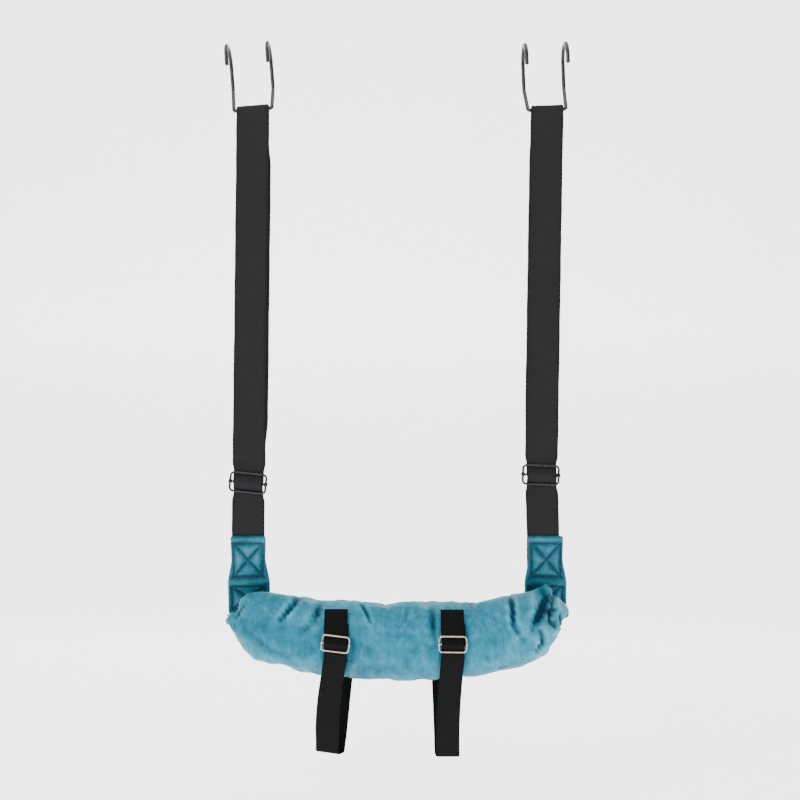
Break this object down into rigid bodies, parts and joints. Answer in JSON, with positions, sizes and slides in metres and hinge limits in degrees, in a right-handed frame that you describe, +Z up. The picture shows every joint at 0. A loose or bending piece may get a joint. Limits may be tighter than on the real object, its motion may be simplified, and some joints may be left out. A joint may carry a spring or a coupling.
{
  "type": "hanging padded sling",
  "caption": "Stuffed velvet bolster hung from hooks by long adjustable webbing straps, with small adjustable loops below it, for supporting a limb or the body.",
  "frame": {"origin": "midway between the hooks, on the line where they rest on the rail or door edge that they hang over", "axes": "+Z up along the straps, +X to the right seen from the front, the front of the sling faces -Y"},
  "size_m": [0.5346, 0.1224, 1.0939],
  "materials": {
    "black_wire": "satin",
    "black_webbing": "matte",
    "small_webbing": "matte",
    "teal_velvet": "satin",
    "polyester_filling": "matte",
    "nickel_wire": "gloss",
    "teal_thread": "matte",
    "black_thread": "matte"
  },
  "bodies": {
    "hooks": {"left_hook": "black_wire", "right_hook": "black_wire"},
    "straps": {"left_strap_fold": "black_webbing", "left_strap_front": "black_webbing", "left_strap_back": "black_webbing", "right_strap_fold": "black_webbing", "right_strap_front": "black_webbing", "right_strap_back": "black_webbing"},
    "adjusters": {"left_strap_end": "black_webbing", "left_strap_thread": "black_webbing", "left_adjuster_frame": "black_wire", "left_adjuster_bar": "black_wire", "right_strap_end": "black_webbing", "right_strap_thread": "black_webbing", "right_adjuster_frame": "black_wire", "right_adjuster_bar": "black_wire"},
    "sling": {"left_strap_lower": "black_webbing", "left_strap_base": "black_webbing", "left_tab": "teal_velvet", "left_tab_stitch_upper": "teal_thread", "left_tab_stitch_lower": "teal_thread", "left_band_stitch": "black_thread", "left_loop_stitch": "black_thread", "left_loop_anchor": "small_webbing", "left_loop_thread": "small_webbing", "left_buckle_frame": "nickel_wire", "left_buckle_bar": "nickel_wire", "left_loop_front": "small_webbing", "left_loop_back": "small_webbing", "right_strap_lower": "black_webbing", "right_strap_base": "black_webbing", "right_tab": "teal_velvet", "right_tab_stitch_upper": "teal_thread", "right_tab_stitch_lower": "teal_thread", "right_band_stitch": "black_thread", "right_loop_stitch": "black_thread", "right_loop_anchor": "small_webbing", "right_loop_thread": "small_webbing", "right_buckle_frame": "nickel_wire", "right_buckle_bar": "nickel_wire", "right_loop_front": "small_webbing", "right_loop_back": "small_webbing", "bolster_cover": "teal_velvet", "bolster_filling": "polyester_filling", "back_band": "black_webbing"},
    "left_loop_end": {"left_loop_bottom": "small_webbing"},
    "left_loop_tail_end": {"left_loop_tail": "small_webbing"},
    "right_loop_end": {"right_loop_bottom": "small_webbing"},
    "right_loop_tail_end": {"right_loop_tail": "small_webbing"}
  },
  "joints": [
    {"name": "sling_swing", "type": "hinge", "parent": "hooks", "child": "straps", "pos_m": [0, 0, -0.0965], "axis": [1, 0, 0], "range_deg": [-45, 45]},
    {"name": "adjuster_slide", "type": "slide", "parent": "straps", "child": "adjusters", "axis": [0, 0, 1], "range_m": [-0.015, 0.35], "deforming": ["left_strap_front", "left_strap_back", "right_strap_front", "right_strap_back"]},
    {"name": "strap_length", "type": "slide", "parent": "adjusters", "child": "sling", "axis": [0, 0, -1], "range_m": [-0.03, 0.7], "deforming": ["left_strap_lower", "right_strap_lower"]},
    {"name": "left_loop_length", "type": "slide", "parent": "sling", "child": "left_loop_end", "axis": [0, 0, 1], "range_m": [0, 0.014], "deforming": ["left_loop_front", "left_loop_back"]},
    {"name": "left_tail_wrap", "type": "hinge", "parent": "sling", "child": "left_loop_tail_end", "pos_m": [-0.0954, 0.003, -0.90492], "axis": [-1, 0, 0], "range_deg": [0, 26]},
    {"name": "right_loop_length", "type": "slide", "parent": "sling", "child": "right_loop_end", "axis": [0, 0, 1], "range_m": [0, 0.014], "deforming": ["right_loop_front", "right_loop_back"]},
    {"name": "right_tail_wrap", "type": "hinge", "parent": "sling", "child": "right_loop_tail_end", "pos_m": [0.078, 0.003, -0.90571], "axis": [-1, 0, 0], "range_deg": [0, 26]}
  ],
  "couplings": [
    {"joint": "adjuster_slide", "follows": "strap_length", "ratio": 0.5},
    {"joint": "left_tail_wrap", "follows": "left_loop_length", "rad_per_m": 31.596},
    {"joint": "right_tail_wrap", "follows": "right_loop_length", "rad_per_m": 31.596}
  ]
}
